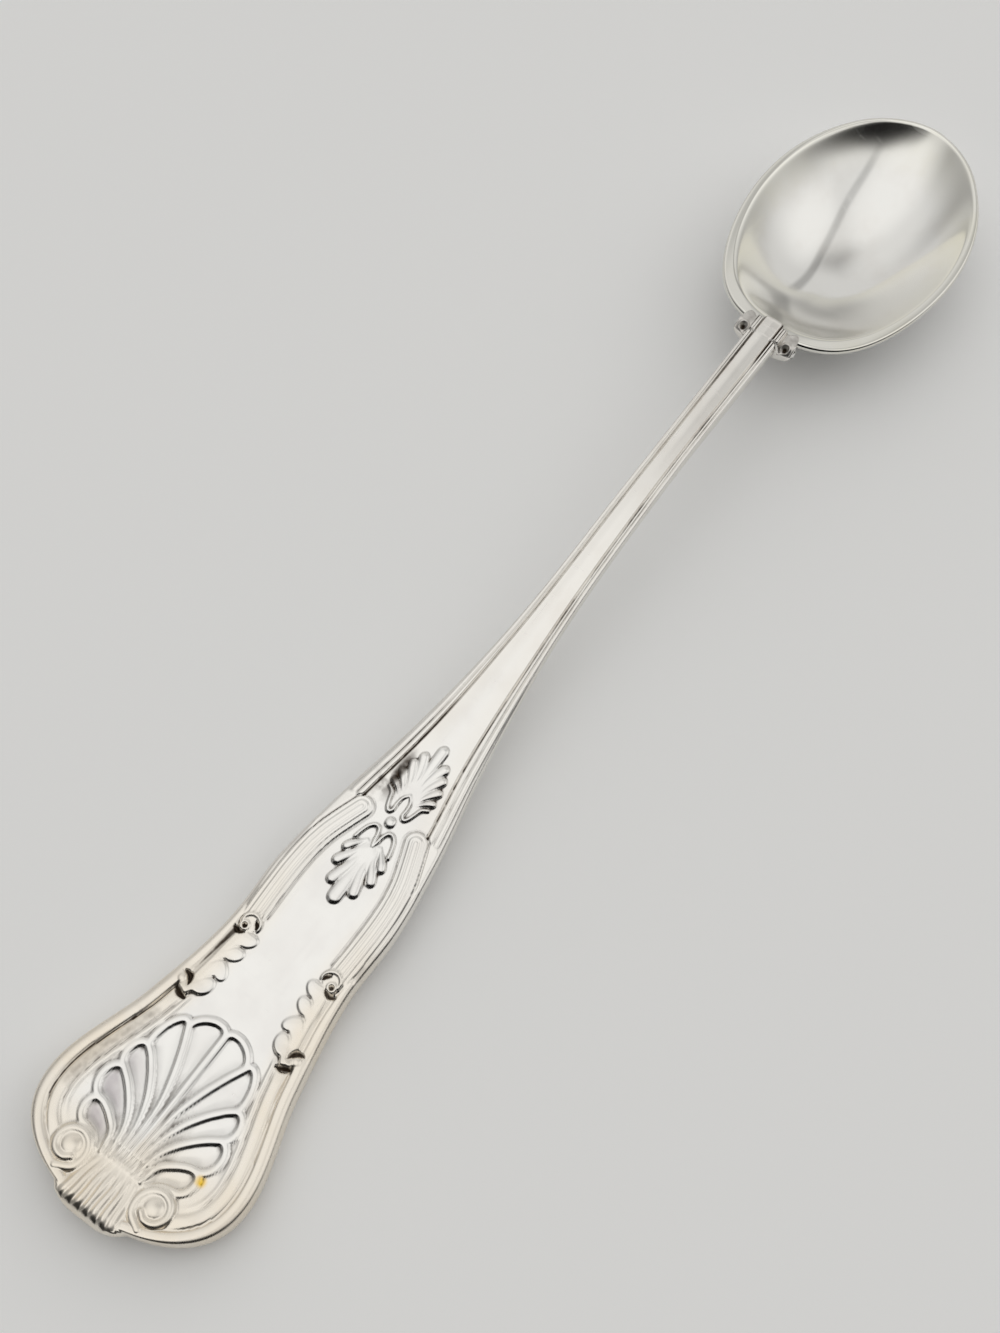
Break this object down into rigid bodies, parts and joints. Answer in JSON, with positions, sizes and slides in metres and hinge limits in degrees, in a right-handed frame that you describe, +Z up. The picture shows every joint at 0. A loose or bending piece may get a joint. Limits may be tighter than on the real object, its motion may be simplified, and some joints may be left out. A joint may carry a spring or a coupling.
{
  "type": "salad serving spoon",
  "caption": "Long silver-plated serving spoon: egg-shaped pressed bowl soldered to a slender struck stem that widens into a fiddle-shaped end with shell, scrolls, leaves and palmettes in relief.",
  "frame": {"origin": "centre of the bounding box on the table that the spoon lies on", "axes": "+X along the spoon from the scroll end to the tip of the bowl, +Y to the left of the handle, +Z up out of the bowl"},
  "size_m": [0.2448, 0.0416, 0.0172],
  "materials": {
    "polished_silver_plate": "silver plate polished to a mirror, with fine wear scratches",
    "struck_silver_plate": "silver plate, bright on the raised work and warm to black tarnish in the hollows",
    "silver_solder": "greyish silver solder, satin"
  },
  "bodies": {
    "root": {"bowl": "polished_silver_plate", "handle": "struck_silver_plate", "solder_seam": "silver_solder"}
  },
  "joints": []
}
